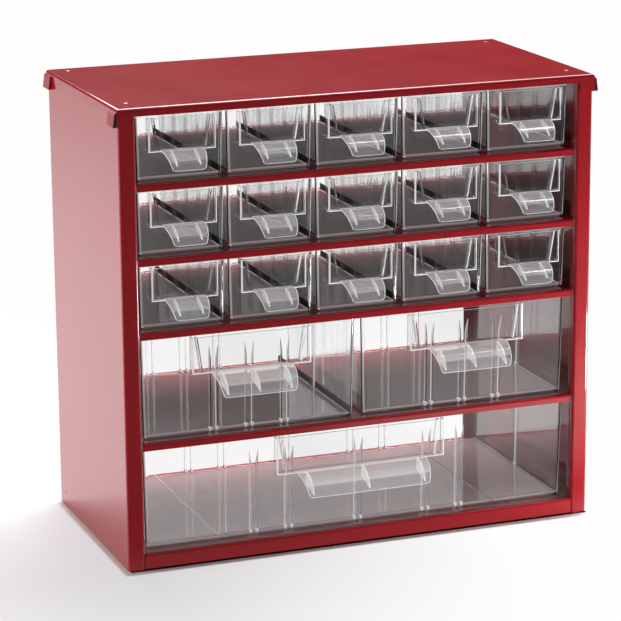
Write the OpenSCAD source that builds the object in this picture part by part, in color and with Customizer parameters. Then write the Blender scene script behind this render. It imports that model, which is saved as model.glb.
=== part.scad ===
// Parts cabinet: a body of folded steel sheet with four shelves, and five rows of clear
// drawers that slide out at the front.
// +X is right and -Y is the front. The origin lies under the centre of the whole part.

/* [Cabinet body] */
// Width across the top cover
cabinet_w = 306; // [290:1:380]
// Depth from the front flanges to the rear flanges
cabinet_d = 150; // [130:1:220]
// Thickness of the steel sheet
sheet = 0.8; // [0.6:0.1:1.0]
// Outside radius of the bends in the sheet
bend_r = 1.8; // [1.2:0.1:2.4]
// Width of the front flange of each side
stile_w = 10.5; // [8:0.5:14]
// Depth of the edge folded in from each front flange
return_d = 7; // [5:0.5:10]
// Width of the flanges at the back and under the sides
flange_w = 11; // [8:0.5:16]

/* [Top cover] */
// Height of the cover's side and rear flanges
cover_flange_h = 10.7; // [9:0.1:16]
// Height of the cover's front flange between its ears
cover_front_h = 5; // [4:0.1:7]
// How far the ears stop short of the stiles' inner edges
ear_setback = 1.6; // [0:0.1:3]
// How far the corner pockets stand out at their lower edge
pocket_out = 2.4; // [2:0.1:4]
// How far the corner pockets stand out at their shoulder
pocket_top = 1.3; // [1.2:0.1:2]
// Length of the corner pockets along the depth
pocket_l = 13; // [8:0.5:20]
// Radius of the wall holes in the cover's rear flange
wall_hole_r = 2.5; // [1.5:0.1:3]
// Distance between the two wall holes
wall_hole_pitch = 250; // [100:1:270]

/* [Shelves] */
// Height of the bottom shelf above the surface that the cabinet stands on
floor_h = 9.8; // [8:0.1:16]
// Gap under the bottom rail
rail_gap = 1; // [0.5:0.1:3]
// Height of the lips folded down at the front and back of a shelf
lip_h = 4.8; // [4:0.1:8]
// How far the front lips sit behind the stiles
lip_recess = 2; // [0.5:0.1:4]
// Height of the guides pressed up between the drawers
guide_h = 4; // [2:0.5:6]
// Length of one guide
guide_l = 20; // [10:1:30]
// Height of the welded tabs under the ends of a shelf
tab_h = 6; // [4:0.5:10]
// Gap between a shelf and the folded edges of the stiles
notch_gap = 0.4; // [0.2:0.1:1]

/* [Rows] */
// Shelf to shelf height of a row of small drawers
small_pitch = 44.8; // [42:0.1:60]
// Shelf to shelf height of a row of medium or large drawers
tall_pitch = 68.5; // [64:0.1:90]
// Gap between small drawers
small_gap = 2; // [1.6:0.1:4]
// Gap between medium drawers
medium_gap = 4; // [2:0.1:6]
// Gap between the end drawers and the stiles
end_gap = 2.7; // [2:0.1:5]
// How far the drawers' faces sit behind the front of the cabinet
face_recess = 9; // [6:0.1:14]
// Gap between the drawers and the rear lip above them
back_gap = 5; // [2:0.1:8]
// Running gap under a drawer
run_gap = 0.3; // [0.2:0.1:0.6]
// Gap between a drawer's rim and the lip above it
rim_gap = 1.8; // [1:0.1:3]
// Gap between the rear upstand of a drawer and the shelf above it
upstand_gap = 1.2; // [0.8:0.1:2]

/* [Drawers] */
// Thickness of the drawer walls
wall = 1.4; // [1:0.1:2]
// Draft of the drawer walls in degrees
draft = 1.2; // [0.5:0.1:2]
// Radius of the upright corners
corner_r = 2; // [1:0.1:3]
// Radius of the bottom edges
foot_r = 3; // [2:0.1:4]
// Centre to centre distance of the divider slots
slot_pitch = 22.8; // [18:0.1:30]
// Distance between the two ribs of a slot
slot_w = 4.2; // [3:0.1:6]
// Thickness of a rib
rib_t = 0.9; // [0.6:0.1:1.2]
// How far a rib stands out from its wall
rib_out = 1; // [0.6:0.1:1.5]
// Distance from the rim to the points of the ribs
rib_drop = 7.5; // [4:0.5:12]

/* [Label pockets and handles] */
// How far the label pockets stand out from the drawer
label_out = 4.5; // [3:0.1:6]
// Thickness of the pocket's plate, of its ribs and of the handle
plate_t = 1; // [0.8:0.1:1.4]
// Inset of the card guides at the top of a pocket
guide_top = 3.8; // [2:0.1:5]
// Inset of the card guides at the bottom of a pocket
guide_foot = 7; // [5:0.1:9]
// Width of a small label pocket
small_label_w = 41.4; // [30:0.1:46]
// Height of a small label pocket
small_label_h = 20.5; // [16:0.1:24]
// Width of a medium label pocket
medium_label_w = 76; // [60:1:110]
// Height of a medium label pocket
medium_label_h = 23; // [18:0.5:32]
// Width of the large label pocket
large_label_w = 111; // [90:1:160]
// Height of the large label pocket
large_label_h = 24; // [18:0.5:32]
// Width of a small handle at its root
small_handle_w = 26; // [20:0.5:30]
// Width of a medium handle at its root
medium_handle_w = 52; // [40:0.5:58]
// Width of the large handle at its root
large_handle_w = 85; // [60:0.5:90]
// How much narrower a handle is at its tip
handle_taper = 6.4; // [2:0.1:10]
// Reach of a small handle from the drawer's face
small_reach = 17.5; // [14:0.1:20]
// Drop of a small handle below its label pocket
small_drop = 9.5; // [7:0.1:12]
// Reach of a medium or large handle from the drawer's face
tall_reach = 19.5; // [15:0.1:24]
// Drop of a medium or large handle below its label pocket
tall_drop = 12; // [9:0.1:16]

/* [Hidden] */
small_rows = 3;
small_columns = 5;
tall_rows = 2;
medium_columns = 2;
rows = small_rows + tall_rows;
red = [0.62, 0.09, 0.12];
black = [0.06, 0.06, 0.06];
clear = [0.86, 0.88, 0.9, 0.55];
curve_steps = 6;
cut = 1;

cabinet_h = floor_h + tall_rows * tall_pitch + small_rows * small_pitch + sheet;
reach_max = max(small_reach, tall_reach) - face_recess;
front_y = (reach_max - cabinet_d) / 2;
web_x = cabinet_w / 2 - 2 * sheet;
stile_x = cabinet_w / 2 - sheet - stile_w;
row_w = 2 * (stile_x - end_gap);
lip_y = sheet + lip_recess;
notch_y = sheet + return_d + notch_gap;
rear_y = cabinet_d - 2 * sheet;
drawer_l = rear_y - sheet - back_gap - face_recess;
pocket_h = cover_flange_h - bend_r;
guide_rows = [lip_y + guide_l, rear_y - 2 * guide_l];
small_w = (row_w - (small_columns - 1) * small_gap) / small_columns;
medium_w = (row_w - (medium_columns - 1) * medium_gap) / medium_columns;

// Height of the top face of the shelf under a row, counted from the bottom row 0
function shelf_z(row) = floor_h + min(row, tall_rows) * tall_pitch
    + max(row - tall_rows, 0) * small_pitch;

// Height of a drawer that runs on a shelf of this pitch
function drawer_h(pitch) = pitch - lip_h - rim_gap - run_gap;

// Distance between the middles of neighbouring drawers in a row
function column_step(count, gap) = (row_w + gap) / count;

// Points along part of an ellipse
function arc(x, y, rx, ry, from, to) = [
    for (i = [0:curve_steps])
        let (a = from + (to - from) * i / curve_steps)
        [x + rx * cos(a), y + ry * sin(a)]
];

// Tub outline standing on the x axis: leaning walls and rounded bottom corners
function tub(w, h, lean, r) = concat(
    [[-w / 2, h]],
    arc(r + lean - w / 2, r, r, r, 180, 270),
    arc(w / 2 - lean - r, r, r, r, 270, 360),
    [[w / 2, h]]
);

// Rectangle with rounded corners
function round_rectangle(w, l, r) = concat(
    arc(w / 2 - r, l / 2 - r, r, r, 0, 90),
    arc(r - w / 2, l / 2 - r, r, r, 90, 180),
    arc(r - w / 2, r - l / 2, r, r, 180, 270),
    arc(w / 2 - r, r - l / 2, r, r, 270, 360)
);

// Outline standing on the x axis with rounded top corners
function arch(w, h, r) = concat(
    [[-w / 2, 0], [w / 2, 0]],
    arc(w / 2 - r, h - r, r, r, 0, 90),
    arc(r - w / 2, h - r, r, r, 90, 180)
);

// Moves a shape from the cabinet's front plane to the part's origin
module placed() translate([0, front_y, 0]) children();

// Shape and its mirror image across the middle of the cabinet
module both_sides() {
    children();
    mirror([1, 0, 0]) children();
}

// Extrudes an outline drawn in x and z along y, around y = 0
module along_y(l) rotate([90, 0, 0]) linear_extrude(l, center = true) children();

// Extrudes an outline drawn in y and z along x, around x = 0
module along_x(l) rotate([90, 0, 90]) linear_extrude(l, center = true) children();

// Section of a bend in the sheet, in the quarter that starts at an angle
module bend(start) rotate(start) intersection() {
    difference() {
        circle(r = bend_r, $fn = 32);
        circle(r = bend_r - sheet, $fn = 32);
    }
    square(bend_r);
}

// ---- Sides ----

// Plan section of the left side: web, front flange with folded edge, rear flange
module side_section() {
    l = cabinet_d - 2 * sheet;
    translate([0, bend_r]) square([sheet, l - 2 * bend_r]);
    translate([bend_r, bend_r]) bend(180);
    translate([bend_r, 0]) square([stile_w - 2 * bend_r, sheet]);
    translate([stile_w - bend_r, bend_r]) bend(270);
    translate([stile_w - sheet, bend_r]) square([sheet, return_d - bend_r]);
    translate([bend_r, l - bend_r]) bend(90);
    translate([bend_r, l - sheet]) square([flange_w - bend_r, sheet]);
}

// Side panel with its foot flange, whose top edges follow the rounds inside the cover
module side() intersection() {
    translate([sheet - cabinet_w / 2, sheet, 0]) {
        linear_extrude(cabinet_h - sheet) side_section();
        translate([0, bend_r, 0]) cube([flange_w, rear_y - sheet - bend_r, sheet]);
    }
    cover_inside(cabinet_h);
}

module left_side() color(red) placed() side();

module right_side() color(red) placed() mirror([1, 0, 0]) side();

// ---- Top cover ----

// Upside down pan with rounded top edges, seen from its open bottom at z = 0
module pan(w, l, h, r) intersection() {
    along_y(l) polygon(arch(w, h, r));
    along_x(w) polygon(arch(l, h, r));
}

// Window between the ears of the front flange, with slanted ends
module front_window() {
    half = cabinet_w / 2 - sheet - stile_w + ear_setback;
    h = cover_flange_h - cover_front_h;
    along_y(2 * sheet + cut) polygon([
        [-half, -cut], [half, -cut], [half, h - sheet], [half - sheet, h],
        [sheet - half, h], [-half, h - sheet]
    ]);
}

// Outline of a pocket beside the cover's flange, in x and z, with its walls moved in
function pocket_outline(inset) = [
    [0, inset], [pocket_out - inset, inset],
    [pocket_top - inset, pocket_h - pocket_top + inset - inset * sqrt(2)],
    [0, pocket_h - inset * sqrt(2)]
];

// Hollow pocket at the front right corner, open at its front end
module corner_pocket() translate([cabinet_w / 2, 0, 0]) difference() {
    translate([0, (pocket_l + sheet) / 2, 0]) along_y(pocket_l - sheet)
        polygon(concat(pocket_outline(0), [[-sheet / 2, pocket_h], [-sheet / 2, 0]]));
    pocket_core(pocket_l - sheet);
}

// Space inside a corner pocket
module pocket_core(l) translate([0, l / 2, 0]) along_y(l) polygon(pocket_outline(sheet));

// Copies a shape at the front right corner to all four corners of the cover
module four_corners() both_sides() {
    children();
    translate([0, cabinet_d, 0]) mirror([0, 1, 0]) children();
}

// Space inside a cover of height h that stands on z = 0
module cover_inside(h) translate([0, cabinet_d / 2, -sheet])
    pan(cabinet_w - 2 * sheet, cabinet_d - 2 * sheet, h, bend_r - sheet);

module top_cover() color(red) placed() translate([0, 0, cabinet_h - cover_flange_h]) {
    difference() {
        translate([0, cabinet_d / 2, 0]) pan(cabinet_w, cabinet_d, cover_flange_h, bend_r);
        cover_inside(cover_flange_h);
        front_window();
        both_sides() translate([wall_hole_pitch / 2, cabinet_d - sheet / 2, cover_flange_h / 2])
            rotate([90, 0, 0]) cylinder(r = wall_hole_r, h = sheet + cut, center = true, $fn = 48);
    }
    four_corners() corner_pocket();
}

// Plug with a cap that closes the front end of the front right pocket
module corner_plug() translate([cabinet_w / 2, 0, 0]) {
    translate([0, sheet / 2, 0]) along_y(sheet) polygon(pocket_outline(0));
    pocket_core(pocket_l / 2);
}

module corner_plugs() color(black) placed() translate([0, 0, cabinet_h - cover_flange_h])
    four_corners() corner_plug();

// ---- Shelves ----

// Folded front edge of a shelf whose top face is at z = 0, drawn in y and z
module lip_section(drop) {
    translate([lip_y, -drop]) square([sheet, drop - bend_r]);
    translate([lip_y + bend_r, -bend_r]) bend(90);
    translate([lip_y + bend_r, -sheet]) square([notch_y - lip_y, sheet]);
}

// Folded rear edge of a shelf, drawn in y and z
module rear_section(drop) {
    translate([rear_y - 2 * bend_r, -sheet]) square([bend_r, sheet]);
    translate([rear_y - bend_r, -bend_r]) bend(0);
    translate([rear_y - sheet, -drop]) square([sheet, drop - bend_r]);
}

// Guides between the drawers of a row and at its ends
module guides(count, gap) {
    step = column_step(count, gap);
    for (i = [0:count], y = guide_rows)
        translate([(i - count / 2) * step - sheet / 2, y, -sheet]) cube([sheet, guide_l, guide_h + sheet]);
}

// Shelf with its top face at z = 0
module shelf(lip, count, gap) {
    along_x(2 * (stile_x - notch_gap)) lip_section(lip);
    translate([-web_x, notch_y, -sheet]) cube([2 * web_x, rear_y - bend_r - notch_y, sheet]);
    along_x(2 * (web_x - bend_r + sheet)) rear_section(lip);
    both_sides() translate([web_x - sheet, notch_y, -tab_h]) cube([sheet, rear_y - bend_r - notch_y, tab_h]);
    guides(count, gap);
}

// Shelf under a row, counted from the bottom row 0
module shelf_under(row) color(red) placed() translate([0, 0, shelf_z(row)])
    shelf(row == 0 ? floor_h - rail_gap : lip_h, columns_in(row), gap_in(row));

function columns_in(row) = row >= tall_rows ? small_columns : (row == 0 ? 1 : medium_columns);
function gap_in(row) = row >= tall_rows ? small_gap : medium_gap;

// ---- Drawers ----

// Solid block with leaning sides and rounded edges, centred on x and y
module drafted_block(w, l, h, r, foot) {
    lean = h * tan(draft);
    intersection() {
        along_y(l) polygon(tub(w, h, lean, foot));
        along_x(w) polygon(tub(l, h, lean, foot));
        linear_extrude(h) polygon(round_rectangle(w, l, r));
    }
}

// Pair of pointed ribs on the inner face of the wall at y = -half, at x = 0
module slot_ribs(half, h) {
    rib_h = h - wall - rib_drop;
    lean = (h - wall) * tan(draft);
    for (side = [-1, 1])
        translate([side * slot_w / 2, lean - half, wall]) rotate([draft, 0, 0])
            along_y(2 * rib_out) polygon([
                [-rib_t / 2, -wall / 2], [rib_t / 2, -wall / 2], [rib_t / 2, rib_h - slot_w / 2],
                [side * rib_t / 2, rib_h], [-rib_t / 2, rib_h - slot_w / 2]
            ]);
}

// Slot ribs on the front and back walls at the given places
module end_ribs(l, h, places) for (turn = [0, 180], x = places)
    rotate(turn) translate([x, 0, 0]) slot_ribs(l / 2 - wall, h);

// Slot ribs on the side walls at the given places
module side_ribs(w, h, places) for (turn = [90, 270], y = places)
    rotate(turn) translate([y, 0, 0]) slot_ribs(w / 2 - wall, h);

// Open label pocket in front of the face at y = 0, with its foot at z = 0
module label_pocket(w, h) {
    difference() {
        translate([-w / 2, -label_out, 0]) cube([w, label_out + wall / 2, h]);
        translate([plate_t - w / 2, plate_t - label_out, plate_t])
            cube([w - 2 * plate_t, label_out - plate_t, h]);
    }
    both_sides() rotate([90, 0, 0]) linear_extrude(label_out - plate_t / 2) polygon([
        [w / 2 - guide_foot, plate_t / 2], [w / 2 - guide_foot + plate_t, plate_t / 2],
        [w / 2 - guide_top + plate_t, h], [w / 2 - guide_top, h]
    ]);
}

// Scoop handle that curves out and down from the foot of the label pocket at z = 0
module handle(w, reach, drop, ribs) {
    rx = reach - label_out + plate_t;
    ry = drop + plate_t;
    centre_y = plate_t - label_out;
    intersection() {
        along_x(w) polygon(concat(
            arc(centre_y, -drop, rx, ry, 90, 180),
            arc(centre_y, -drop, rx - plate_t, ry - plate_t, 180, 90)
        ));
        translate([0, 0, -drop]) along_y(2 * reach + cut) polygon(tub(w, ry, handle_taper / 2, corner_r));
    }
    for (i = [0:ribs - 1])
        translate([(i / (ribs - 1) - 0.5) * (w - handle_taper - 2 * corner_r), 0, 0]) along_x(plate_t)
            polygon(concat(
                [[wall / 2, -drop * 0.8], [wall / 2, plate_t / 2], [centre_y, plate_t / 2]],
                arc(centre_y, -drop, rx - plate_t / 2, ry - plate_t / 2, 90, 150)
            ));
}

// Drawer that stands on z = 0 with the middle of its face at the origin
module drawer(w, pitch, label_w, label_h, handle_w, reach, drop, ribs) {
    h = drawer_h(pitch);
    upstand_h = pitch - sheet - upstand_gap - run_gap;
    label_z = h - label_h;
    translate([0, drawer_l / 2, 0]) {
        difference() {
            drafted_block(w, drawer_l, h, corner_r, foot_r);
            translate([0, 0, wall])
                drafted_block(w - 2 * wall, drawer_l - 2 * wall, h, corner_r - wall / 2, foot_r - wall / 2);
        }
        translate([0, (drawer_l - wall) / 2, h - foot_r]) mirror([0, 0, 1])
            translate([0, 0, h - foot_r - upstand_h]) along_y(wall)
                polygon(tub(w - 2 * corner_r, upstand_h - h + foot_r, 0, corner_r));
        children();
    }
    translate([0, 0, label_z]) {
        label_pocket(label_w, label_h);
        handle(handle_w, reach, drop, ribs);
    }
}

// Places along a wall that carry divider slots, around its middle
function slots(reach) = [for (i = [-reach:reach]) i * slot_pitch];

module small_drawer(i) {
    row = rows - 1 - floor((i - 1) / small_columns);
    column = (i - 1) % small_columns;
    step = column_step(small_columns, small_gap);
    color(clear) placed()
        translate([(column - (small_columns - 1) / 2) * step, face_recess, shelf_z(row) + run_gap])
            drawer(small_w, small_pitch, small_label_w, small_label_h,
                small_handle_w, small_reach, small_drop, 2)
                side_ribs(small_w, drawer_h(small_pitch), slots(2));
}

module medium_drawer(side) color(clear) placed()
    translate([side * column_step(medium_columns, medium_gap) / 2, face_recess, shelf_z(1) + run_gap])
        drawer(medium_w, tall_pitch, medium_label_w, medium_label_h,
            medium_handle_w, tall_reach, tall_drop, 3) {
            end_ribs(drawer_l, drawer_h(tall_pitch), slots(1));
            side_ribs(medium_w, drawer_h(tall_pitch), [0]);
        }

module large_drawer() color(clear) placed()
    translate([0, face_recess, shelf_z(0) + run_gap])
        drawer(row_w, tall_pitch, large_label_w, large_label_h,
            large_handle_w, tall_reach, tall_drop, 3) {
            end_ribs(drawer_l, drawer_h(tall_pitch), 2 * slots(1));
            end_ribs(drawer_l, drawer_h(tall_pitch), 3 * [-slot_pitch, slot_pitch]);
            side_ribs(row_w, drawer_h(tall_pitch), [0]);
        }

left_side();
right_side();
top_cover();
corner_plugs();
shelf_under(0);  // bottom_shelf
for (level = [1:rows - 1]) shelf_under(level);
large_drawer();
medium_drawer(-1);  // medium_drawer_left
medium_drawer(1);  // medium_drawer_right
for (i = [1:small_rows * small_columns])
    small_drawer(i);
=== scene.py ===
"""Dresses the parts cabinet: enamelled sheet steel and clear moulded drawers on a white table."""

import math

import bmesh
import bpy
from bpy.props import FloatProperty, FloatVectorProperty, IntProperty, PointerProperty
from mathutils import Matrix, Vector


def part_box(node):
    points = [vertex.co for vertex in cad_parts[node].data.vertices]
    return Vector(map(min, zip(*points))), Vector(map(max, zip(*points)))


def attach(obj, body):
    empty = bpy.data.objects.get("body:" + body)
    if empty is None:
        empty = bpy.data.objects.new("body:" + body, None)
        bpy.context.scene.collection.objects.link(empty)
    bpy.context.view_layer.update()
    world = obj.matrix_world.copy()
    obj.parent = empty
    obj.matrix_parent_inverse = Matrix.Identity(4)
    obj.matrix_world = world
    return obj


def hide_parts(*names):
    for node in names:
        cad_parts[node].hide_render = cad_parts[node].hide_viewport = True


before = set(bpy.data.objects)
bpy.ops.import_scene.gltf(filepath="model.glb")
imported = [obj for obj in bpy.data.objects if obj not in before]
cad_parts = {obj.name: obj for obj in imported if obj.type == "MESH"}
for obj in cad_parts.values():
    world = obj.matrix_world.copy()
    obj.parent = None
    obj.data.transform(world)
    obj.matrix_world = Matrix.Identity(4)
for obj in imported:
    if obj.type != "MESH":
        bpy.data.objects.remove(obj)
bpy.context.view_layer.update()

bl_info = {
    "name": "Parts Cabinet Looks",
    "version": (1, 0, 0),
    "blender": (4, 5, 0),
    "location": "View3D > Sidebar > Parts Cabinet",
    "description": "Models the clear drawers and finishes the steel body of a parts cabinet",
    "category": "Object",
}

MM = 0.001
STEEL_NODES = ["left_side", "right_side", "top_cover", "bottom_shelf", *(f"shelf_{i}" for i in range(1, 5))]
SIDES = {"left_side": -1, "right_side": 1}
TOP, LEFT, RIGHT, FRONT = (0, 0, 1), (-1, 0, 0), (1, 0, 0), (0, -1, 0)
# Faces of the steel that carry spot-weld marks, in millimetres from the origin.
COVER_TOP, SIDE_FACE, RAIL_FACE = 282, 152.2, -68.85
# Spot-weld marks of each steel part: the place in millimetres, and the way the face there looks.
DIMPLES = {
    "top_cover": [((x, y, COVER_TOP), TOP) for x in (-142, 142) for y in (-52, 69)],
    "left_side": [((-SIDE_FACE, y, 10), LEFT) for y in (-62, 65)],
    "right_side": [((SIDE_FACE, y, 10), RIGHT) for y in (-62, 65)],
    "bottom_shelf": [((x, RAIL_FACE, 5.5), FRONT) for x in (-135, 135)],
}
DIMPLE_BALL = 6 * MM
DIMPLE_DEPTH = 0.25 * MM
# How far the front rail of the bottom shelf ends above the table, and how much it comes forward and
# out at both ends.
RAIL_FOOT = 0.35 * MM
RAIL_OUT = 1.9 * MM
RAIL_WIDER = 0.35 * MM
# How much further in the sides' rear flanges reach.
FLANGE_MORE = 9.7 * MM
# Vertices within this distance of an edge of the sheet are moved with it.
NEARBY = 1 * MM
FLAT = math.radians(1)
SHARP = math.radians(35)
SOFT = math.radians(12)


# ---- Settings ----


def length(name, description, default):
    """A length in metres, given in millimetres."""
    return FloatProperty(
        name=name, description=description, default=default * MM, min=0, subtype="DISTANCE", unit="LENGTH"
    )


def colour(name, description, default):
    return FloatVectorProperty(
        name=name, description=description, default=default, min=0, max=1, size=3, subtype="COLOR"
    )


def share(name, description, default):
    return FloatProperty(name=name, description=description, default=default, min=0, max=1)


def count(name, description, default):
    return IntProperty(name=name, description=description, default=default, min=0)


def drawer_settings(title, size):
    """The settings of one size of drawer, as a PropertyGroup. Lengths are given in millimetres."""
    fields = {
        "label_width": (length, "Label width", "Width of the label pocket"),
        "label_height": (length, "Label height", "Height of the label pocket"),
        "handle_width": (length, "Handle width", "Width of the handle at its root"),
        "reach": (length, "Reach", "Reach of the handle from the drawer's face"),
        "drop": (length, "Drop", "Drop of the handle below the label pocket"),
        "gussets": (count, "Gussets", "Ribs under the handle"),
        "gusset_foot": (share, "Gusset foot", "Where the ribs end above the tip, as a share of the drop"),
        "end_slots": (count, "End slots", "Divider slots at each side of the middle"),
        "side_slots": (count, "Side slots", "Divider slots in the side walls"),
        "floor_ribs": (count, "Floor ribs", "Place of the two floor ribs in slot pitches, 0 for none"),
    }
    properties = {field: kind(*words, size[field]) for field, (kind, *words) in fields.items()}
    return type(title, (bpy.types.PropertyGroup,), {"__annotations__": properties})


SmallDrawerSettings = drawer_settings("SmallDrawerSettings", {
    "label_width": 41.4, "label_height": 20.5, "handle_width": 26, "reach": 17.5, "drop": 9.5,
    "gussets": 2, "gusset_foot": 0.75, "end_slots": 0, "side_slots": 5, "floor_ribs": 0,
})
MediumDrawerSettings = drawer_settings("MediumDrawerSettings", {
    "label_width": 76, "label_height": 23, "handle_width": 52, "reach": 19.5, "drop": 12,
    "gussets": 3, "gusset_foot": 0.4, "end_slots": 1, "side_slots": 1, "floor_ribs": 0,
})
LargeDrawerSettings = drawer_settings("LargeDrawerSettings", {
    "label_width": 111, "label_height": 24, "handle_width": 85, "reach": 19.5, "drop": 12,
    "gussets": 3, "gusset_foot": 0.4, "end_slots": 3, "side_slots": 1, "floor_ribs": 4,
})


class CabinetSettings(bpy.types.PropertyGroup):
    """Sizes and colours that all the pieces share."""

    small: PointerProperty(type=SmallDrawerSettings)
    medium: PointerProperty(type=MediumDrawerSettings)
    large: PointerProperty(type=LargeDrawerSettings)
    wall: length("Wall", "Thickness of the drawer walls", 1.4)
    plate: length("Plate", "Thickness of the label plates and handles", 1.0)
    corner: length("Corner", "Radius of the drawers' outer corners", 2.6)
    rim: length("Rim", "Radius of the drawers' rims", 0.3)
    lean: length("Lean", "How far a small drawer's wall leans in at its foot", 0.8)
    label_out: length("Label depth", "How far the label pocket stands out", 4.5)
    guide_top: length("Guide top", "Inset of the card guides at the top of the pocket", 3.8)
    guide_foot: length("Guide foot", "Inset of the card guides at the foot of the pocket", 7.0)
    slot_pitch: length("Slot pitch", "Distance between divider slots", 22.8)
    slot_width: length("Slot width", "Distance between the two ribs of a slot", 4.2)
    rib: length("Rib", "Thickness of a divider rib", 0.9)
    rib_out: length("Rib depth", "How far a divider rib stands out from its wall", 2.0)
    sheet_edge: length("Sheet edge", "Radius of the steel sheet's edges", 0.22)
    enamel: colour("Enamel", "Colour of the enamel", (0.41, 0.011, 0.018))
    plastic: colour("Clear plastic", "Tint of the clear drawers", (0.985, 0.99, 0.99))
    plugs: colour("Plugs", "Colour of the corner plugs", (0.012, 0.013, 0.012))


def settings():
    return bpy.context.scene.parts_cabinet


# ---- Shader maths ----


class Number:
    """A number on a node socket. Arithmetic on it adds the Math node that does it."""

    def __init__(self, shader, socket):
        self.shader = shader
        self.socket = socket

    def math(self, operation, first, second):
        node = self.shader.node("ShaderNodeMath", {"operation": operation}, {0: first, 1: second})
        return Number(self.shader, node.outputs[0])

    def __add__(self, other):
        return self.math("ADD", self, other)

    __radd__ = __add__

    def __sub__(self, other):
        return self.math("SUBTRACT", self, other)

    def __rsub__(self, other):
        return self.math("SUBTRACT", other, self)

    def __mul__(self, other):
        return self.math("MULTIPLY", self, other)

    __rmul__ = __mul__

    def clamped(self):
        """The number held between 0 and 1."""
        node = self.shader.node("ShaderNodeClamp", None, {"Value": self})
        return Number(self.shader, node.outputs[0])

    def past(self, edge, fade):
        """0 up to an edge, and 1 from a fade beyond it."""
        return ((self - edge) * (1 / fade)).clamped()

    def before(self, edge, fade):
        """1 until a fade short of an edge, and 0 from the edge on."""
        return ((edge - self) * (1 / fade)).clamped()


class Shader:
    """A node tree that is being written, of a material or of the world."""

    def __init__(self, owner):
        owner.use_nodes = True
        self.tree = owner.node_tree
        self.tree.nodes.clear()

    def node(self, kind, options=None, inputs=None):
        """Adds a node, sets its options first and then the values or links of its sockets."""
        node = self.tree.nodes.new(kind)
        for name, value in (options or {}).items():
            setattr(node, name, value)
        for name, value in (inputs or {}).items():
            self.feed(node.inputs[name], value)
        return node

    def feed(self, socket, value):
        if isinstance(value, Number):
            value = value.socket
        if isinstance(value, bpy.types.NodeSocket):
            self.tree.links.new(value, socket)
        else:
            socket.default_value = value

    def place(self):
        """The point on the piece, in metres."""
        return self.node("ShaderNodeTexCoord").outputs["Object"]

    def noise(self, scale, detail=2.0, stretch=(1, 1, 1)):
        """Noise between 0 and 1 with features of about 1 / scale metres."""
        mapping = self.node("ShaderNodeMapping", None, {"Vector": self.place(), "Scale": stretch})
        inputs = {"Vector": mapping.outputs[0], "Scale": scale, "Detail": detail}
        return Number(self, self.node("ShaderNodeTexNoise", None, inputs).outputs["Fac"])

    def blend(self, factor, first, second):
        """Colour between two colours."""
        node = self.node("ShaderNodeMix", {"data_type": "RGBA"}, {"Factor": factor, "A": first, "B": second})
        return node.outputs["Result"]

    def relief(self, height, distance):
        """Normal of a surface raised by a height from 0 to 1 over a distance in metres."""
        node = self.node("ShaderNodeBump", None, {"Strength": 1.0, "Distance": distance, "Height": height})
        return node.outputs["Normal"]

    def along(self, axis):
        """How far along x, y or z the point lies, in metres."""
        node = self.node("ShaderNodeSeparateXYZ", None, {"Vector": self.place()})
        return Number(self, node.outputs[axis])

    def away(self):
        """How far the point lies from the middle of the object, in metres."""
        node = self.node("ShaderNodeVectorMath", {"operation": "LENGTH"}, {0: self.place()})
        return Number(self, node.outputs["Value"])

    def attribute(self, name):
        """A number that the piece's own faces carry."""
        node = self.node("ShaderNodeAttribute", {"attribute_name": name})
        return Number(self, node.outputs["Fac"])

    def mix(self, factor, first, second):
        """Surface between two surfaces."""
        return self.node("ShaderNodeMixShader", None, {0: factor, 1: first.outputs[0], 2: second.outputs[0]})

    def glow(self, strength, colour=(1, 1, 1, 1)):
        return self.node("ShaderNodeEmission", None, {"Color": colour, "Strength": strength})

    def diffuse(self, *values):
        return self.node("ShaderNodeBsdfDiffuse", None, {"Color": (*values, 1)})

    def light_path(self, ray):
        return Number(self, self.node("ShaderNodeLightPath").outputs[ray])

    def finish(self, surface, kind="ShaderNodeOutputMaterial"):
        self.node(kind, None, {"Surface": surface.outputs[0]})


def rgba(values, gain=1.0):
    """A colour with full alpha, made lighter or darker."""
    return tuple(min(1.0, v * gain) for v in values) + (1.0,)


# How much of the plastic a full painted highlight ("edge") or a full painted shade ("shade") covers, and how
# much the painted highlight glows.
EDGE_SHARE = 0.85
SHADE_SHARE = 0.92
EDGE_GLOW = 0.45


def enamel():
    """Glossy red stoving enamel with a fine orange peel."""
    material = bpy.data.materials.new("red_enamel")
    shader = Shader(material)
    red = settings().enamel
    cloud = shader.noise(22, 3)
    peel = shader.noise(900, 2)
    ripple = shader.noise(60, 1)
    surface = shader.node("ShaderNodeBsdfPrincipled", None, {
        "Base Color": shader.blend(cloud, rgba(red, 0.9), rgba(red, 1.08)),
        "Roughness": 0.2 + cloud * 0.1,
        "Specular IOR Level": 0.15,
        "Coat Weight": 1.0,
        "Coat Roughness": 0.05,
        "Coat IOR": 1.62,
        "Normal": shader.relief(peel * 0.03 + ripple, 0.00003),
    })
    shader.finish(surface)
    return material


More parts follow.
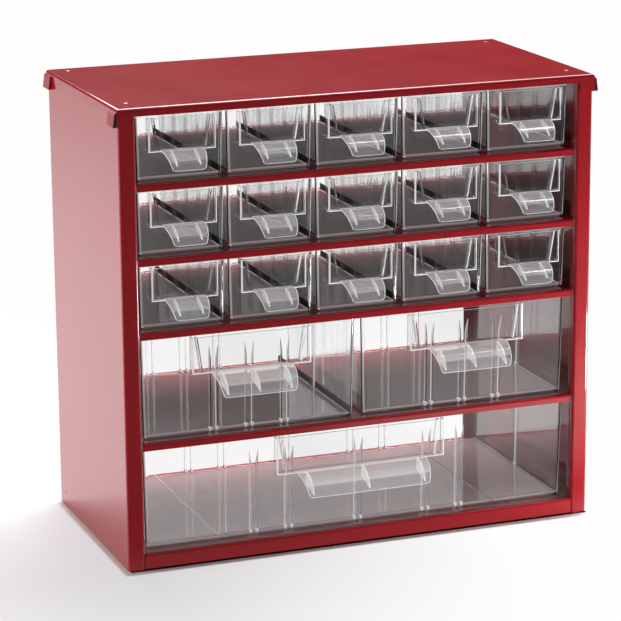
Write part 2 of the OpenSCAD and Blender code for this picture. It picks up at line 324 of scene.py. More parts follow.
def clear_plastic():
    """Clear moulded polystyrene with faint flow lines and scuffs, and painted highlights and painted shade
    on marked faces.
    """
    material = bpy.data.materials.new("clear_plastic")
    shader = Shader(material)
    tint = settings().plastic
    scuffs = shader.noise(160, 4, (1, 0.3, 1))
    flow = shader.noise(45, 1, (1, 1, 0.4))
    surface = shader.node("ShaderNodeBsdfPrincipled", None, {
        "Base Color": shader.blend(flow, rgba(tint, 0.99), rgba(tint)),
        "Roughness": scuffs * 0.01,
        "IOR": 1.55,
        "Transmission Weight": 1.0,
        "Normal": shader.relief(flow, 0.00001),
    })
    # Painted highlight: a weakly glowing white laid over faces marked "edge".
    line = shader.node("ShaderNodeBsdfPrincipled", None, {
        "Base Color": (0.9, 0.9, 0.9, 1),
        "Roughness": 0.2,
        "Emission Color": (1, 1, 1, 1),
        "Emission Strength": EDGE_GLOW,
    })
    # Painted shade: a dark surface laid over faces marked "shade".
    dark = shader.diffuse(0.015, 0.006, 0.008)
    bright = shader.mix(shader.attribute("edge") * EDGE_SHARE, surface, line)
    seen = shader.mix(shader.attribute("shade") * SHADE_SHARE, bright, dark)
    # Light passes straight through the plastic on its way to the steel and the table.
    through = shader.node("ShaderNodeBsdfTransparent", None, {"Color": rgba(tint, 0.95)})
    passing = (shader.light_path("Is Shadow Ray") + shader.light_path("Is Diffuse Ray")).clamped()
    shader.finish(shader.mix(passing, seen, through))
    return material


def black_plastic():
    """Satin black moulded plastic with a fine grain."""
    material = bpy.data.materials.new("black_plastic")
    shader = Shader(material)
    black = settings().plugs
    grain = shader.noise(1400, 3)
    surface = shader.node("ShaderNodeBsdfPrincipled", None, {
        "Base Color": shader.blend(grain, rgba(black), rgba(black, 2.2)),
        "Roughness": 0.38 + grain * 0.15,
        "Normal": shader.relief(grain, 0.00004),
    })
    shader.finish(surface)
    return material


# ---- Modelling ----


class Editing:
    """Edit mode on one object, in which faces, edges or vertices are picked by a test."""

    PARTS = {"FACE": "faces", "EDGE": "edges", "VERT": "verts"}

    def __init__(self, obj, part="FACE"):
        self.obj = obj
        self.part = part

    def __enter__(self):
        choose(self.obj)
        bpy.ops.object.mode_set(mode="EDIT")
        bpy.ops.mesh.select_mode(type=self.part)
        return self

    def __exit__(self, *failure):
        bpy.ops.object.mode_set(mode="OBJECT")

    def select_all(self):
        bpy.ops.mesh.select_all(action="SELECT")

    def pick(self, test):
        """Selects only what passes the test."""
        bpy.ops.mesh.select_all(action="DESELECT")
        mesh = bmesh.from_edit_mesh(self.obj.data)
        for item in getattr(mesh, self.PARTS[self.part]):
            if test(item):
                item.select_set(True)
        mesh.select_flush_mode()
        bmesh.update_edit_mesh(self.obj.data)


def choose(*objs):
    """Selects only these objects and makes the first one active."""
    bpy.ops.object.select_all(action="DESELECT")
    for obj in objs:
        obj.select_set(True)
    bpy.context.view_layer.objects.active = objs[0]


def settle():
    """Puts the new object's place into its mesh."""
    bpy.ops.object.transform_apply(location=True, rotation=True, scale=True)
    return bpy.context.object


def block(name, low, high):
    """A block between two corners, to be shaped further."""
    low, high = Vector(low), Vector(high)
    bpy.ops.object.select_all(action="DESELECT")
    bpy.ops.mesh.primitive_cube_add(size=1, location=(low + high) / 2, scale=high - low)
    obj = settle()
    obj.name = name
    return obj


def use_modifier(obj, kind, **options):
    choose(obj)
    modifier = obj.modifiers.new(kind.lower(), kind)
    for name, value in options.items():
        setattr(modifier, name, value)
    bpy.ops.object.modifier_apply(modifier=modifier.name)


def cut_away(obj, *planes):
    """Cuts off what lies beyond each plane, given by a point and a normal, and closes the cut."""
    with Editing(obj, "VERT") as edit:
        for point, normal in planes:
            edit.select_all()
            bpy.ops.mesh.bisect(
                plane_co=point, plane_no=Vector(normal).normalized(), use_fill=True, clear_outer=True,
                threshold=0.001 * MM,
            )


def round_edges(obj, radius, segments=2, angle=SHARP):
    """Rounds every sharp edge."""
    use_modifier(
        obj, "BEVEL", width=radius, segments=segments, limit_method="ANGLE", angle_limit=angle,
        use_clamp_overlap=True,
    )


def fuse(base, *parts):
    """Joins closed pieces into one closed piece."""
    for part in parts:
        use_modifier(base, "BOOLEAN", operation="UNION", solver="MANIFOLD", object=part)
        bpy.data.objects.remove(part)
    return base


def joined(name, objs):
    """Several pieces as one object."""
    choose(*objs)
    if len(objs) > 1:
        bpy.ops.object.join()
    bpy.context.object.name = name
    return bpy.context.object


def copied(obj, name, matrix):
    """A copy with its own mesh, moved by a matrix."""
    copy = obj.copy()
    copy.data = obj.data.copy()
    copy.data.transform(matrix)
    copy.name = name
    bpy.context.scene.collection.objects.link(copy)
    return copy


def dress(obj, node, body, material, angle=SHARP):
    """Finishes a piece that stands for a CAD node."""
    obj.name = node + "_looks"
    obj.data.materials.clear()
    obj.data.materials.append(material)
    choose(obj)
    bpy.ops.object.shade_smooth_by_angle(angle=angle)
    use_modifier(obj, "WEIGHTED_NORMAL", keep_sharp=True, weight=100)
    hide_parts(node)
    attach(obj, body)


def near(a, b, slack=0.05 * MM):
    return abs(a - b) < slack


# ---- Steel ----


def pressed_sheet(node):
    """A copy of a folded steel part with its triangles merged and its edges rounded."""
    obj = copied(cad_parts[node], node + "_sheet", Matrix.Identity(4))
    obj.parent = None
    with Editing(obj, "VERT") as edit:
        edit.select_all()
        bpy.ops.mesh.remove_doubles(threshold=0.001 * MM)
        bpy.ops.mesh.dissolve_limited(angle_limit=FLAT)
    round_edges(obj, settings().sheet_edge)
    return obj


def move_vertices(obj, test, offset):
    with Editing(obj, "VERT") as edit:
        edit.pick(test)
        bpy.ops.transform.translate(value=offset)


def fit_rail(obj):
    """Brings the front rail of the bottom shelf down to the table and out to the faces of the sides."""
    low = min(v.co.z for v in obj.data.vertices)
    front = min(v.co.y for v in obj.data.vertices)
    end = max(v.co.x for v in obj.data.vertices if v.co.y < front + NEARBY) - NEARBY
    move_vertices(obj, lambda v: v.co.z < low + NEARBY and v.co.y < 0, (0, 0, RAIL_FOOT - low))
    move_vertices(obj, lambda v: v.co.y < front + 2 * NEARBY, (0, -RAIL_OUT, 0))
    for side in (-1, 1):
        move_vertices(obj, lambda v: v.co.y < front and side * v.co.x > end, (side * RAIL_WIDER, 0, 0))


def widen_flange(obj, side):
    """Brings the inner edge of a side's rear flange further in."""
    rear = max(v.co.y for v in obj.data.vertices) - NEARBY
    inner = min(side * v.co.x for v in obj.data.vertices) + NEARBY
    move_vertices(obj, lambda v: v.co.y > rear and side * v.co.x < inner, (-side * FLANGE_MORE, 0, 0))


def dimple(obj, place, out):
    """Presses a shallow round mark, as a spot weld leaves it, into the face that looks along `out`."""
    bpy.ops.object.select_all(action="DESELECT")
    middle = Vector(place) * MM + Vector(out) * (DIMPLE_BALL - DIMPLE_DEPTH)
    bpy.ops.mesh.primitive_uv_sphere_add(segments=48, ring_count=24, radius=DIMPLE_BALL, location=middle)
    ball = settle()
    use_modifier(obj, "BOOLEAN", operation="DIFFERENCE", solver="MANIFOLD", object=ball)
    bpy.data.objects.remove(ball)


class PARTSCABINET_OT_steel(bpy.types.Operator):
    """Finish the folded steel panels and shelves"""

    bl_idname = "parts_cabinet.steel"
    bl_label = "Steel Panels"

    def execute(self, context):
        material = enamel()
        for node in STEEL_NODES:
            sheet = pressed_sheet(node)
            if node == "bottom_shelf":
                fit_rail(sheet)
            if node in SIDES:
                widen_flange(sheet, SIDES[node])
            for place, out in DIMPLES.get(node, []):
                dimple(sheet, place, out)
            dress(sheet, node, "cabinet", material)
        return {"FINISHED"}


class PARTSCABINET_OT_plugs(bpy.types.Operator):
    """Finish the black plugs in the corner pockets"""

    bl_idname = "parts_cabinet.plugs"
    bl_label = "Corner Plugs"

    def execute(self, context):
        dress(pressed_sheet("corner_plugs"), "corner_plugs", "cabinet", black_plastic())
        return {"FINISHED"}


# ---- Drawers ----

# A small drawer's height, how far the back wall rises above the rim, and the height of a shelf guide.
DRAWER_HEIGHT = 38 * MM
UPSTAND_RISE = 4.6 * MM
GUIDE_HEIGHT = 5.4 * MM
# How much narrower a handle is at its tip.
HANDLE_TAPER = 6.4 * MM
# A gusset's lower edge runs between two places, each as shares of the handle's reach and of the foot.
GUSSET_FOOT = (0.1, 1.0)
GUSSET_LIP = (0.95, 0.3)
# Divider ribs: how far they end below the rim, their square foot and how far it stands out, and the
# size of their point against the rib.
RIB_DROP = 7.5 * MM
RIB_FOOT = 1.5 * MM
RIB_FOOT_OUT = 0.3 * MM
RIB_POINT = (0.15, 0.4, 1)
FLOOR_RIB_OUT = 0.5 * MM

# Painted highlights on the moulded edges: the values of the "edge" attribute, which lays a weakly glowing
# white over the clear plastic.
RIM_LIGHT = 1.0
GLINT = 0.9
CORNER_LIGHT = 0.4
CARD_GUIDE_LIGHT = 0.8
SCOOP_LIGHT = 0.3
SCOOP_FOOT_LIGHT = 0.1
GUSSET_LIGHT = 0.4
RIB_FOOT_LIGHT = 0.8
FLOOR_RIB_LIGHT = {-1: 0.45, 1: 0.1}
SMALL_CORNER_LINE = 0.45
CORNER_LINE = 0.2
FLOOR_LIGHT = 0.1
LARGE_FLOOR_LIGHT = 0.21

# The strength of the painted highlight on the side and of the painted shade on the edge, of the left and the
# right rib of a pair.
FRONT_RIBS = ((0.35, 0.75), (0.9, 0.6))
LARGE_FRONT_RIBS = ((0.9, 0.2), (0.15, 0.4))
BACK_RIBS = ((0.07, 0), (0.07, 0))
SIDE_RIB_LIGHT = 0.8
SIDE_RIB_FAR_LIGHT = 0.05


class Drawer:
    """One size of drawer. It is modelled with the foot of its face's middle at the origin."""

    def __init__(self, shape, node):
        common = settings()
        low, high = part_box(node)
        self.common = common
        self.shape = shape
        self.wall = common.wall
        self.width = high.x - low.x
        self.face_y = low.y + shape.reach
        self.length = high.y - self.face_y
        self.upstand = high.z - low.z
        self.height = self.upstand - UPSTAND_RISE
        self.lean = common.lean * self.height / DRAWER_HEIGHT
        self.label_z = self.height - shape.label_height

    def tub(self):
        """Open box with leaning walls and rounded corners."""
        half, wall, lean = self.width / 2, self.wall, self.lean
        middle = self.length / 2
        obj = block("tub", (-half, 0, 0), (half, self.length, self.height))
        with Editing(obj, "FACE") as edit:
            edit.pick(lambda face: face.normal.z < -0.9)
            shrink = (1 - lean / half, 1 - lean / middle, 1)
            bpy.ops.transform.resize(value=shrink, center_override=(0, middle, 0))
            edit.pick(lambda face: face.normal.z > 0.9)
            bpy.ops.mesh.inset(thickness=wall)
            bpy.ops.mesh.extrude_region_move(TRANSFORM_OT_translate={"value": (0, 0, wall - self.height)})
            shrink = (1 - lean / (half - wall), 1 - lean / (middle - wall), 1)
            bpy.ops.transform.resize(value=shrink, center_override=(0, middle, wall))
        with Editing(obj, "EDGE") as edit:
            edit.pick(self.is_outer_edge)
            bpy.ops.mesh.bevel(offset=self.common.corner, segments=9, affect="EDGES")
            edit.pick(self.is_inner_edge)
            bpy.ops.mesh.bevel(offset=self.common.corner - wall * 0.8, segments=9, affect="EDGES")
            edit.select_all()
            bpy.ops.mesh.bisect(plane_co=(0, 0, GUIDE_HEIGHT), plane_no=(0, 0, 1), threshold=0.001 * MM)
        round_edges(obj, self.common.rim, 3)
        # Painted highlights along the roundings of the front corners and the rim, and a painted glint at the
        # lower front corners.
        mark(obj, "edge", CORNER_LIGHT, self.is_front_corner)
        mark(obj, "edge", GLINT, is_lower_front_corner)
        return mark(obj, "edge", RIM_LIGHT, lambda face: face.center.z > self.height - self.common.rim)

    def is_front_corner(self, face):
        """True along the middle of the roundings at the sides of the face and at its foot inside."""
        side, front, up = face.normal
        outer = face.center.y < self.common.corner and face.center.z < self.height - 2 * self.wall
        inner = face.center.y < 3 * self.wall and face.center.z < 3 * self.wall
        return outer and front < -0.4 and 0.45 < abs(side) < 0.85 or inner and front > 0.4 and up > 0.4

    def is_rim(self, vertex):
        return near(vertex.co.z, self.height)

    def is_outer(self, vertex):
        """True for the eight corners of the outer box."""
        inset = self.wall * 0.6
        wide = self.width / 2 - (0 if self.is_rim(vertex) else self.lean)
        return abs(vertex.co.x) > wide - inset and (self.is_rim(vertex) or near(vertex.co.z, 0))

    def is_outer_edge(self, edge):
        return all(self.is_outer(v) for v in edge.verts) and not all(self.is_rim(v) for v in edge.verts)

    def is_inner_edge(self, edge):
        floor = [near(v.co.z, self.wall) for v in edge.verts]
        inside = [abs(v.co.x) < self.width / 2 - self.wall * 0.6 for v in edge.verts]
        return any(floor) and all(f or self.is_rim(v) for f, v in zip(floor, edge.verts)) and all(inside)

    def is_right_foot(self, face):
        return face.center.x > self.width / 2 - 2 * self.common.corner and face.center.z < GUIDE_HEIGHT

    def is_beside_guide(self, face):
        """True for the foot of the right wall, which gets painted shade for the dark gap to the next drawer.
        """
        return self.is_right_foot(face) and abs(face.normal.x) > 0.6 and face.center.z > 0.5 * MM

    def is_floor(self, face):
        """True for the flat floor inside, which gets a faint painted light."""
        return face.normal.z > 0.99 and near(face.center.z, self.wall)

    def is_floor_corner(self, face):
        """True for the rounding between the floor and the right wall."""
        inside = face.center.z > 0.8 * self.wall and face.center.y > 2 * self.wall
        return self.is_right_foot(face) and inside and face.normal.z > 0.7 and face.normal.x < -0.1

    def back_upstand(self):
        """Raised middle of the back wall, which meets the lip above and stops the drawer."""
        half = self.width / 2 - self.common.corner
        obj = block(
            "upstand",
            (-half, self.length - self.wall, self.height - self.common.corner),
            (half, self.length, self.upstand),
        )
        with Editing(obj, "EDGE") as edit:
            edit.pick(lambda edge: all(near(v.co.z, self.upstand) for v in edge.verts) and is_along(edge, 1))
            bpy.ops.mesh.bevel(offset=self.common.corner, segments=5, affect="EDGES")
        round_edges(obj, self.common.rim)
        return obj

    def label_pocket(self):
        """Open pocket for a card in front of the face."""
        common, plate = self.common, self.common.plate
        half = self.shape.label_width / 2
        back = plate + 0.1 * MM
        top = self.height - common.rim
        obj = block("pocket", (-half, -common.label_out, self.label_z), (half, back, top))
        with Editing(obj, "FACE") as edit:
            edit.pick(lambda face: face.normal.z > 0.9)
            bpy.ops.mesh.inset(thickness=plate)
            down = plate - self.shape.label_height + common.rim
            bpy.ops.mesh.extrude_region_move(TRANSFORM_OT_translate={"value": (0, 0, down)})
            edit.pick(lambda face: face.normal.y < -0.9 and near(face.calc_center_median().y, back - plate))
            bpy.ops.transform.translate(value=(0, 0.5 * self.wall, 0))
        with Editing(obj, "EDGE") as edit:
            edit.pick(lambda edge: is_front_outline(edge, -common.label_out, half, self.label_z))
            bpy.ops.mesh.bevel(offset=0.7 * plate, segments=3, affect="EDGES")
        round_edges(obj, common.rim / 2)
        # Painted highlight along the pocket's rounded edges.
        return mark(obj, "edge", RIM_LIGHT, is_rounding)

    def card_guide(self, side):
        """Leaning rib that holds one edge of the card."""
        common = self.common
        half = self.shape.label_width / 2
        foot = half - common.guide_foot
        obj = block(
            "guide",
            (foot, -common.label_out + common.plate / 2, self.label_z + common.plate / 2),
            (foot + common.plate, common.plate / 2, self.height - 2 * common.rim),
        )
        with Editing(obj, "FACE") as edit:
            edit.pick(lambda face: face.normal.z > 0.9)
            bpy.ops.transform.translate(value=(common.guide_foot - common.guide_top, 0, 0))
        round_edges(obj, common.rim / 2)
        # Painted highlight along the guide's rounded edges.
        mark(obj, "edge", CARD_GUIDE_LIGHT, is_rounding)
        return mirrored(obj) if side < 0 else obj

    def handle(self):
        """Scoop handle that curves out and down from the foot of the pocket."""
        common, shape = self.common, self.shape
        plate = common.plate
        out, down = shape.reach - common.label_out + plate, shape.drop + plate
        root_y, tip_z = plate - common.label_out, self.label_z - shape.drop
        half = shape.handle_width / 2
        taper = HANDLE_TAPER / 2
        spare = plate
        obj = block("handle", (-half - spare, root_y, self.label_z), (half + spare, 0, self.label_z + plate))
        with Editing(obj, "FACE") as edit:
            edit.pick(lambda face: face.normal.y < -0.9)
            bpy.ops.mesh.spin(steps=20, angle=-math.pi / 2, center=(0, root_y, tip_z), axis=(1, 0, 0))
            edit.select_all()
            bpy.ops.mesh.normals_make_consistent(inside=False)
            edit.pick(lambda face: face.calc_center_median().y < root_y - 0.01 * MM)
            bpy.ops.transform.resize(value=(1, out / down, 1), center_override=(0, root_y, tip_z))
        top_z = self.label_z + plate
        cut_away(obj, *(((side * half, 0, top_z), (side * down, 0, -taper)) for side in (-1, 1)))
        with Editing(obj, "EDGE") as edit:
            edit.pick(lambda edge: all(near(v.co.z, tip_z) for v in edge.verts) and is_along(edge, 1))
            bpy.ops.mesh.bevel(offset=common.corner, segments=8, affect="EDGES")
        round_edges(obj, common.rim)
        # Painted highlights: faint over the whole handle, stronger on its upper half, full along its sides
        # and tip.
        mark(obj, "edge", SCOOP_FOOT_LIGHT, lambda face: True)
        mark(obj, "edge", SCOOP_LIGHT, lambda face: face.center.z > tip_z + 0.5 * down)
        return mark(obj, "edge", RIM_LIGHT, lambda face: is_rim_face(face, tip_z))

    def gusset(self, x):
        """Quarter round rib under the handle."""
        common, shape = self.common, self.shape
        plate = common.plate
        out, down = shape.reach - common.label_out + plate / 2, shape.drop + plate / 2
        root_y, tip_z = plate - common.label_out, self.label_z - shape.drop
        bpy.ops.object.select_all(action="DESELECT")
        bpy.ops.mesh.primitive_cylinder_add(
            vertices=56, radius=1, depth=1, location=(x, root_y, tip_z), rotation=(0, math.pi / 2, 0),
            scale=(down, out, plate),
        )
        obj = settle()
        obj.name = "gusset"
        foot, lip = (
            Vector((0, root_y - reach * out, tip_z + rise * shape.gusset_foot * down))
            for reach, rise in (GUSSET_FOOT, GUSSET_LIP)
        )
        below, behind = (0, foot.z - lip.z, lip.y - foot.y), (0, 1, 0)
        cut_away(obj, (foot, below), (foot, behind))
        round_edges(obj, common.rim / 2)
        # Painted highlights on the gusset's sides and along its lower edge.
        mark(obj, "edge", GUSSET_LIGHT, lambda face: abs(face.normal.x) > 0.9)
        return mark(obj, "edge", RIM_LIGHT, lambda face: is_rounding(face, (0,)) and face.normal.z < 0.2)

    def gussets(self):
        span = self.shape.handle_width - HANDLE_TAPER - 2 * self.common.corner
        count = self.shape.gussets
        return [self.gusset(span * (i / (count - 1) - 0.5)) for i in range(count)]

    def slot_rib(self, side, depth, light, dark):
        """Pointed rib on a wall at y = 0, with a small foot. Its side and foot get a painted highlight, its
        edge can get painted shade.
        """
        common = self.common
        x = side * common.slot_width / 2
        foot = depth + RIB_FOOT_OUT
        inset = -self.wall / 2
        top = self.height - self.wall - RIB_DROP
        point = 2 * common.slot_width
        obj = block("rib", (x - RIB_FOOT / 2, inset, inset), (x + RIB_FOOT / 2, foot, RIB_FOOT))
        with Editing(obj, "FACE") as edit:
            edit.pick(lambda face: face.normal.z > 0.9)
            bpy.ops.mesh.extrude_region_move(TRANSFORM_OT_translate={"value": (0, 0, common.rib / 2)})
            shrink = (common.rib / RIB_FOOT, (depth - inset) / (foot - inset), 1)
            bpy.ops.transform.resize(value=shrink, center_override=(x, inset, RIB_FOOT))
            up = top - point - RIB_FOOT - common.rib / 2
            bpy.ops.mesh.extrude_region_move(TRANSFORM_OT_translate={"value": (0, 0, up)})
            bpy.ops.mesh.extrude_region_move(TRANSFORM_OT_translate={"value": (0, 0, point)})
            tip = (x + side * common.rib, inset, top)
            bpy.ops.transform.resize(value=RIB_POINT, center_override=tip)
        foot_light = RIB_FOOT_LIGHT if dark else light
        mark(obj, "edge", light, lambda face: face.normal.x < -0.7 or not dark and face.normal.y > 0.7)
        mark(obj, "edge", foot_light, lambda face: face.center.z < RIB_FOOT)
        return mark(obj, "shade", dark, lambda face: face.center.z > RIB_FOOT and face.normal.y > 0.7)

    def rib_looks(self, turn):
        """Painted highlight and painted shade of the two ribs of a pair, on the wall that a turn stands for.
        """
        if turn == 0:
            return LARGE_FRONT_RIBS if self.shape.floor_ribs else FRONT_RIBS
        if turn == math.pi:
            return BACK_RIBS
        return (SIDE_RIB_LIGHT / self.shape.side_slots ** 2, 0), (SIDE_RIB_FAR_LIGHT, 0)

    def slot_pair(self, turn):
        """Two ribs that hold a divider. Those of the front and back walls stand out further."""
        depth = self.common.rib_out if turn in (0, math.pi) else self.common.rib
        looks = self.rib_looks(turn)
        return joined("slot", [self.slot_rib(side, depth, *looks[side > 0]) for side in (-1, 1)])

    def slots(self):
        """All the divider ribs of the drawer."""
        half, middle = self.width / 2 - self.wall, self.length / 2
        lean = math.atan(self.lean / self.height)
        walls = []
        for turn, reach, places in (
            (0, middle - self.wall, self.end_places()),
            (math.pi, middle - self.wall, self.end_places()),
            (math.pi / 2, half, self.side_places()),
            (-math.pi / 2, half, self.side_places()),
        ):
            pair = self.slot_pair(turn)
            for place in places:
                matrix = (
                    Matrix.Translation((0, middle, self.wall))
                    @ Matrix.Rotation(turn, 4, "Z")
                    @ Matrix.Translation((place * self.common.slot_pitch, self.lean - reach, 0))
                    @ Matrix.Rotation(lean, 4, "X")
                )
                walls.append(copied(pair, "slot", matrix))
            bpy.data.objects.remove(pair)
        return joined("slots", walls)

    def end_places(self):
        """Divider slots along the front and back walls, in slot pitches."""
        count = self.shape.end_slots
        if count == 0:
            return []
        return [-3, -2, 0, 2, 3] if count == 3 else list(range(-count, count + 1))

    def side_places(self):
        half = (self.shape.side_slots - 1) // 2
        return list(range(-half, half + 1))

    def floor_rib(self, side):
        """Low rib along the floor."""
        x = side * self.shape.floor_ribs * self.common.slot_pitch
        half = 0.7 * self.common.rib
        inset = self.common.corner
        top = self.wall + FLOOR_RIB_OUT
        obj = block("floor_rib", (x - half, inset, self.wall / 2), (x + half, self.length - inset, top))
        round_edges(obj, self.common.rim / 2)
        # Painted highlight along the rib's top.
        return mark(obj, "edge", FLOOR_RIB_LIGHT[side], lambda face: face.center.z > self.wall)

    def model(self):
        parts = [self.back_upstand(), self.slots(), self.label_pocket()]
        parts += [self.card_guide(side) for side in (-1, 1)]
        parts += [self.floor_rib(side) for side in (-1, 1) if self.shape.floor_ribs]
        parts += [self.handle()] + self.gussets()
        return fuse(self.tub(), *parts)


def is_along(edge, axis):
    """True if an edge runs along x (0), y (1) or z (2)."""
    way = edge.verts[1].co - edge.verts[0].co
    return abs(way[axis]) > 0.9 * way.length


def is_front_outline(edge, y, half, foot):
    """True for the upright edges and the lower edge of a pocket's front."""
    ends = [v.co for v in edge.verts]
    sides = [near(abs(co.x), half) for co in ends]
    return all(near(co.y, y) for co in ends) and (
        (all(sides) and is_along(edge, 2)) or all(near(co.z, foot) for co in ends)
    )


def is_rounding(face, axes=(0, 1, 2)):
    """True for a face that looks along none of the axes, such as that of a rounded edge."""
    return max(abs(face.normal[axis]) for axis in axes) < 0.97


def is_lower_front_corner(face):
    return face.normal.y < -0.35 and face.normal.z < -0.35 and abs(face.normal.x) > 0.35


def is_rim_face(face, tip_z):
    """True along the two sides and the tip of a handle."""
    return 0.15 < abs(face.normal.x) or face.center.z < tip_z + 0.3 * MM


def mark(obj, name, amount, test):
    """Gives the faces that pass a test a value that the plastic reads: "edge" for painted highlight, "shade"
    for painted shade.
    """
    layer = obj.data.attributes.get(name) or obj.data.attributes.new(name, "FLOAT", "FACE")
    for face in obj.data.polygons:
        if test(face):
            layer.data[face.index].value = amount
    return obj


def mirrored(obj):
    """The piece reflected across x = 0, with its faces pointing outwards."""
    obj.data.transform(Matrix.Scale(-1, 4, (1, 0, 0)))
    obj.data.flip_normals()
    return obj


def has_right_neighbour(low, nodes):
    """True if a drawer stands to the right of this low corner, in the same row."""
    return any(near(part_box(other)[0].z, low.z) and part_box(other)[0].x > low.x for other in nodes)


def build_drawers(shape, nodes, material):
    """Models one drawer and copies it to the places of all its nodes."""
    drawer = Drawer(shape, nodes[0])
    model = drawer.model()
    floor_light = LARGE_FLOOR_LIGHT if shape.floor_ribs else FLOOR_LIGHT
    corner_line = SMALL_CORNER_LINE if shape.side_slots > 1 else CORNER_LINE
    for node in nodes:
        low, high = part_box(node)
        looks = copied(model, node + "_looks", Matrix.Identity(4))
        # Painted shade on the foot of the right wall, a faint painted light over the floor and a painted
        # highlight along the floor's right corner.
        if has_right_neighbour(low, nodes):
            mark(looks, "shade", 1.0, drawer.is_beside_guide)
        mark(looks, "edge", floor_light, drawer.is_floor)
        mark(looks, "edge", corner_line, drawer.is_floor_corner)
        looks.data.transform(Matrix.Translation(((low.x + high.x) / 2, drawer.face_y, low.z)))
        dress(looks, node, node, material, SOFT)
    bpy.data.objects.remove(model)


class PARTSCABINET_OT_drawers(bpy.types.Operator):
    """Model the clear drawers in their three sizes"""

    bl_idname = "parts_cabinet.drawers"
    bl_label = "Clear Drawers"

    def execute(self, context):
        material = clear_plastic()
        build_drawers(settings().small, [f"small_drawer_{i}" for i in range(1, 16)], material)
        build_drawers(settings().medium, ["medium_drawer_left", "medium_drawer_right"], material)
        build_drawers(settings().large, ["large_drawer"], material)
        return {"FINISHED"}


# ---- Stage ----

# The camera's place in metres, its angles in degrees and its lens in millimetres.
CAMERA_PLACE = (-0.614, -1.6011, 0.5769)
CAMERA_TURN = -20.7247
CAMERA_TILT = -14.5848
CAMERA_ROLL = -0.4514
CAMERA_LENS = 163.05

# Each lamp's place, aim and size in metres, and its power in watts.
LAMPS = {
    "key": ((0.5, 0.62, 1.4), (0, 0, 0.25), (1.7, 1.1), 52),
    "front": ((0.0, -0.75, 1.4), (0, 0, 0.15), (1.4, 0.6), 1.5),
    "left": ((-1.6, 0.25, 0.35), (0, 0, 0.1), (0.9, 0.6), 17),
    "fill": ((0.36, -0.26, 0.03), (0.12, -0.07, 0.0), (0.1, 0.06), 1.1),
}

# How bright the room is all over, and in its lighter parts.
ROOM = {"all": 0.012, "left": 0.38, "high": 0.45, "window": 0.9}
ROOM_WHITE = (1, 0.99, 0.99, 1)

# The table's two greys and the dark of its painted contact shadow, then how bright its parts are seen.
TABLE = {
    "matte": (0.9, 0.9, 0.9), "dim": (0.62, 0.62, 0.62), "painted_contact_shadow": (0.02, 0.012, 0.012),
    "seen": 1.0, "beyond": 1.1, "rear": 0.9, "front": 0.06, "bright_front": 0.9,
}
TABLE_WHITE = (1, 0.985, 0.985, 1)
# How much the glow covers far from the cabinet, at its foot and where it is seen through the plastic.
FAR_GLOW = 0.4
FOOT_GLOW = 0.65
THROUGH_GLOW = 0.96
# How much of the rear's glow shows in reflections near the cabinet, and how much more further away.
NEAR_REAR = 0.13
FAR_REAR = 0.26
# The ground below the cabinet, and the line on which it stands where a contact shadow is painted: two
# corners and how soft the edge is.
GROUND = ((-0.157, -0.077), (0.157, 0.076), 0.0025)
CONTACT_SHADOW = ((-0.1515, -0.0711), (0.1525, 0.08), 0.0005)


def softbox(name, place, aim, size, power):
    """A large soft lamp that faces a point."""
    lamp = bpy.data.lights.new(name, "AREA")
    lamp.shape = "RECTANGLE"
    lamp.size, lamp.size_y = size
    lamp.energy = power
    obj = bpy.data.objects.new(name, lamp)
    obj.location = place
    obj.rotation_euler = (Vector(aim) - Vector(place)).to_track_quat("-Z", "Y").to_euler()
    bpy.context.scene.collection.objects.link(obj)
    return obj


def within(x, y, low, high, fade):
    """1 inside a rectangle and 0 outside it."""
    return x.past(low[0], fade) * x.before(high[0], fade) * y.past(low[1], fade) * y.before(high[1], fade)


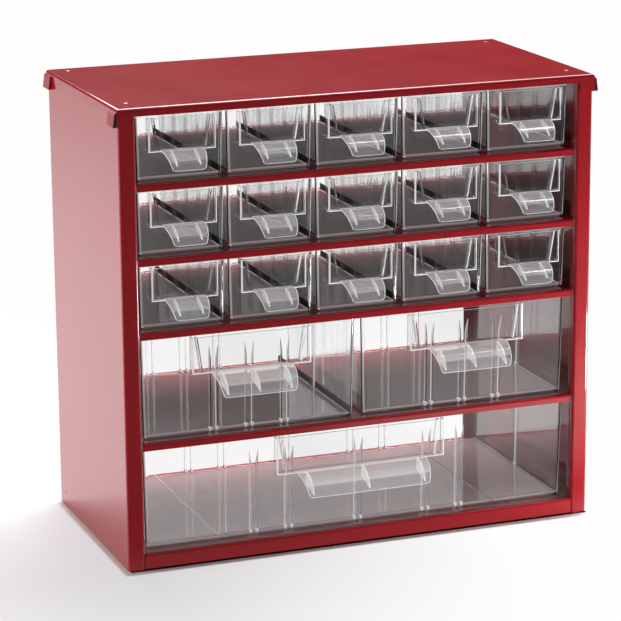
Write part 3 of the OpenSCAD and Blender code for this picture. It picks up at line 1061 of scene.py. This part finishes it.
def table_material():
    """White table with the cabinet's shadow and a painted contact shadow on the line where it stands.

    Reflections see a painted glow on it: light behind the cabinet, bright at the front right and mostly dark
    in front of it. The strip in front of the foot glows for scattered light, a painted bounce onto the
    steel.
    """
    material = bpy.data.materials.new("white_table")
    shader = Shader(material)
    matte, dim, painted_contact_shadow = (shader.diffuse(*TABLE[name]) for name in ("matte", "dim", "painted_contact_shadow"))
    glow, beyond, rear = (shader.glow(TABLE[name], TABLE_WHITE) for name in ("seen", "beyond", "rear"))
    front, bright_front = (shader.glow(TABLE[name]) for name in ("front", "bright_front"))
    seen = shader.light_path("Is Camera Ray")
    through = shader.light_path("Is Transmission Ray")
    x, y, away = shader.along("X"), shader.along("Y"), shader.away()

    # Where the table lies, from 0 to 1.
    behind = y.past(-0.11, 0.05)
    near_front = y.past(-0.35, 0.2) * (1 - behind)
    foot_strip = y.past(-0.16, 1 / 12) * y.before(-0.06, 0.01)
    front_right = x.past(0.02, 1 / 8) * y.past(-0.5, 0.2) * y.before(-0.13, 0.1)
    # The camera sees a white glow over the lamp-lit matte: less of it to the left near the cabinet, where
    # the shadow shows, and more to the right and far away, where it covers the shadow with painted light.
    right = (0.84 + x * 1.9).clamped()
    plain = (right + away.past(0.3, 0.4) * FAR_GLOW).clamped() * (1 - within(x, y, *GROUND))

    # What the camera, the light and the view through the plastic get. Scattered light off the table near the
    # front takes the lighter grey, and off the strip at the foot a glow: painted bounce light.
    grey = shader.mix((seen + through + near_front).clamped(), dim, matte)
    base = shader.mix(foot_strip * shader.light_path("Is Diffuse Ray") * FOOT_GLOW, grey, glow)
    lit = shader.mix(through * THROUGH_GLOW, shader.mix(seen * plain, base, glow), beyond)
    # Painted contact shadow: the camera sees a dark line where the cabinet stands.
    direct = shader.mix(within(x, y, *CONTACT_SHADOW) * seen, lit, painted_contact_shadow)

    # What reflections get: a painted glow, light behind the cabinet, bright at the front right and dim in
    # front.
    # A view that was mirrored inside the plastic ends as one through it, so in front of the cabinet both are
    # taken for reflections.
    rear_share = NEAR_REAR + away.past(0.2, 1 / 1.5) * FAR_REAR
    all_front = shader.mix(front_right, front, bright_front)
    reflected = shader.mix(behind, all_front, shader.mix(rear_share, dim, rear))
    gloss = (shader.light_path("Is Glossy Ray") * (1 - through) + through * (1 - behind)).clamped()
    shader.finish(shader.mix(gloss, direct, reflected))
    return material


def studio_world():
    """A grey room with lighter and darker parts. The table hides it from the camera."""
    world = bpy.data.worlds.new("studio")
    shader = Shader(world)
    way = shader.node("ShaderNodeTexCoord").outputs["Generated"]
    axes = shader.node("ShaderNodeSeparateXYZ", None, {"Vector": way})
    x, y, z = (Number(shader, axes.outputs[axis]) for axis in "XYZ")
    behind = y.past(0, 0.25)
    left = x.before(0.42, 1) * x.past(0.1, 0.1) * ROOM["left"]
    high = z.past(0.285, 0.025) * z.before(0.65, 0.2) * ROOM["high"]
    window = x.before(-0.1, 0.1) * y.past(0.8, 0.1) * z.past(0.25, 0.025) * ROOM["window"]
    tone = ROOM["all"] + behind * (left + high) + window
    surface = shader.node("ShaderNodeBackground", None, {"Color": ROOM_WHITE, "Strength": tone})
    shader.finish(surface, "ShaderNodeOutputWorld")
    bpy.context.scene.world = world


class PARTSCABINET_OT_stage(bpy.types.Operator):
    """Set up the table, the lamps and the camera"""

    bl_idname = "parts_cabinet.stage"
    bl_label = "Stage"

    def execute(self, context):
        bpy.ops.object.select_all(action="DESELECT")
        bpy.ops.mesh.primitive_plane_add(size=12, location=(0, 2, -0.0002))
        table = settle()
        table.name = "table"
        table.data.materials.append(table_material())
        for name, (place, aim, size, power) in LAMPS.items():
            softbox(name, place, aim, size, power)
        studio_world()
        camera = bpy.data.objects.new("camera", bpy.data.cameras.new("camera"))
        camera.data.lens = CAMERA_LENS
        camera.data.clip_end = 50
        turn = Matrix.Rotation(math.radians(CAMERA_TURN), 4, "Z")
        tilt = Matrix.Rotation(math.radians(90 + CAMERA_TILT), 4, "X")
        roll = Matrix.Rotation(math.radians(CAMERA_ROLL), 4, "Z")
        camera.matrix_world = Matrix.Translation(CAMERA_PLACE) @ turn @ tilt @ roll
        context.scene.collection.objects.link(camera)
        context.scene.camera = camera
        context.scene.view_settings.view_transform = "Standard"
        return {"FINISHED"}


class PARTSCABINET_PT_panel(bpy.types.Panel):
    """Lists the pieces of the cabinet"""

    bl_idname = "PARTSCABINET_PT_panel"
    bl_label = "Parts Cabinet"
    bl_space_type = "VIEW_3D"
    bl_region_type = "UI"
    bl_category = "Parts Cabinet"

    def draw(self, context):
        for operator in OPERATORS:
            self.layout.operator(operator.bl_idname)
        for name in ("enamel", "plastic", "plugs", "wall", "plate"):
            self.layout.prop(context.scene.parts_cabinet, name)


OPERATORS = (PARTSCABINET_OT_steel, PARTSCABINET_OT_plugs, PARTSCABINET_OT_drawers, PARTSCABINET_OT_stage)
SETTINGS = (SmallDrawerSettings, MediumDrawerSettings, LargeDrawerSettings, CabinetSettings)
CLASSES = (*SETTINGS, *OPERATORS, PARTSCABINET_PT_panel)


def register():
    for cls in CLASSES:
        bpy.utils.register_class(cls)
    bpy.types.Scene.parts_cabinet = PointerProperty(type=CabinetSettings)


def unregister():
    del bpy.types.Scene.parts_cabinet
    for cls in reversed(CLASSES):
        bpy.utils.unregister_class(cls)


def main():
    register()
    bpy.ops.parts_cabinet.steel()
    bpy.ops.parts_cabinet.plugs()
    bpy.ops.parts_cabinet.drawers()
    bpy.ops.parts_cabinet.stage()


if __name__ == "__main__":
    main()
